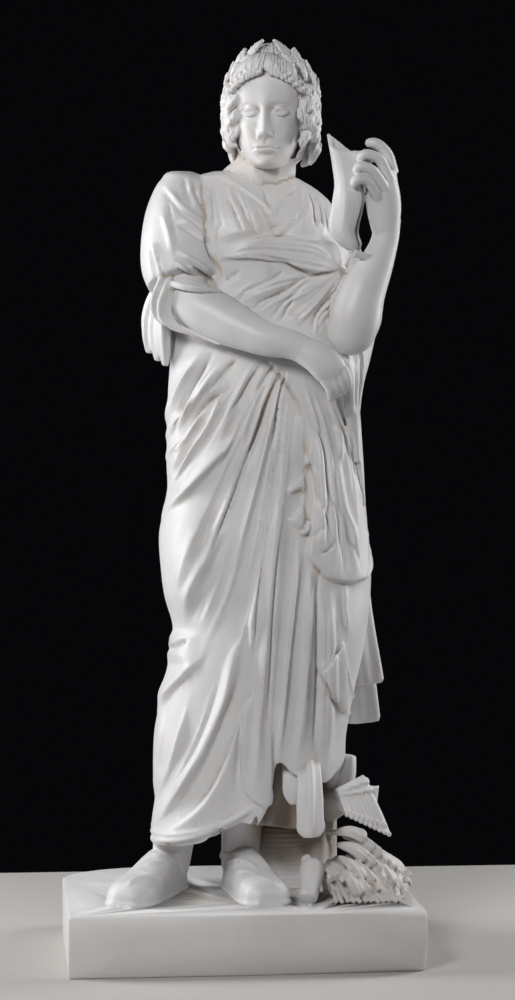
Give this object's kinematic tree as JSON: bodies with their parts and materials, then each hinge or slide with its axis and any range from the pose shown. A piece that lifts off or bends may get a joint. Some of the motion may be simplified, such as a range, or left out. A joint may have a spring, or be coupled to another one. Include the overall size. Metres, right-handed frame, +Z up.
{
  "type": "classical marble statue",
  "caption": "Life-size standing marble youth in tunic and mantle with laurel wreath, parchment and country attributes, carved in one with its low plinth.",
  "frame": {"origin": "middle of the plinth's underside", "axes": "+Z up, -Y towards the viewer the figure faces, +X to that viewer's right"},
  "size_m": [0.7, 0.58, 1.833],
  "materials": {
    "marble": "fine rubbed white marble with warm staining in the hollows"
  },
  "bodies": {
    "root": {"statue": "marble"}
  },
  "joints": []
}
